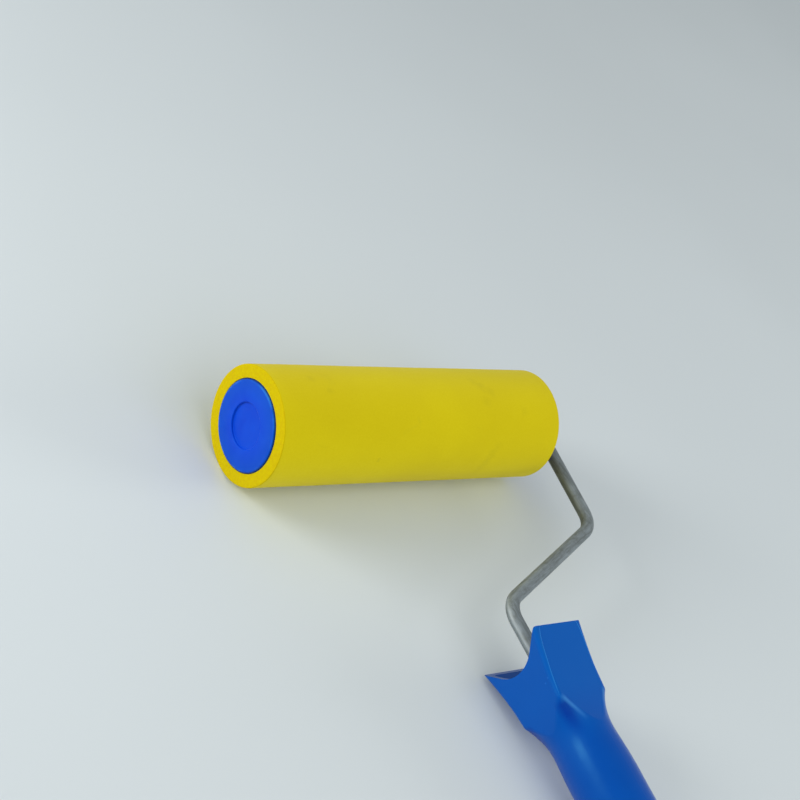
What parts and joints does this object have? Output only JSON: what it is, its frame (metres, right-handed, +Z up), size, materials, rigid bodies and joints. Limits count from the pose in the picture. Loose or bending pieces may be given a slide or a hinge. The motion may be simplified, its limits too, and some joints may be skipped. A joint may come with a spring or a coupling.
{
  "type": "paint roller",
  "caption": "Hand paint roller: a foam-covered roller with blue end caps that spins on a bent wire frame, with a flared-mouth plastic handle.",
  "frame": {"origin": "on the resting plane, under the middle of the tool's bounding box, with the roller and the butt of the handle resting on z = 0", "axes": "+X along the roller's spin axis towards the side where the wire leaves it, +Y from the handle towards the roller, +Z up"},
  "size_m": [0.175, 0.2836, 0.0508],
  "materials": {
    "foam": "matte",
    "cap_plastic": "satin",
    "handle_plastic": "satin",
    "core_plastic": "matte",
    "bush_plastic": "satin",
    "zinc_wire": "satin",
    "washer_steel": "satin",
    "clip_steel": "satin"
  },
  "bodies": {
    "frame": {"wire_frame": "zinc_wire", "handle": "handle_plastic", "outer_thrust_washer": "washer_steel", "inner_thrust_washer": "washer_steel", "retaining_clip": "clip_steel"},
    "roller": {"foam_sleeve": "foam", "core_tube": "core_plastic", "outer_end_cap": "cap_plastic", "outer_bearing": "core_plastic", "outer_bush": "bush_plastic", "inner_end_cap": "cap_plastic", "inner_bush": "bush_plastic"}
  },
  "joints": [
    {"name": "roller_spin", "type": "hinge", "parent": "frame", "child": "roller", "pos_m": [-0.00659, 0.11644, 0.0254], "axis": [1, 0, 0], "continuous": true}
  ]
}
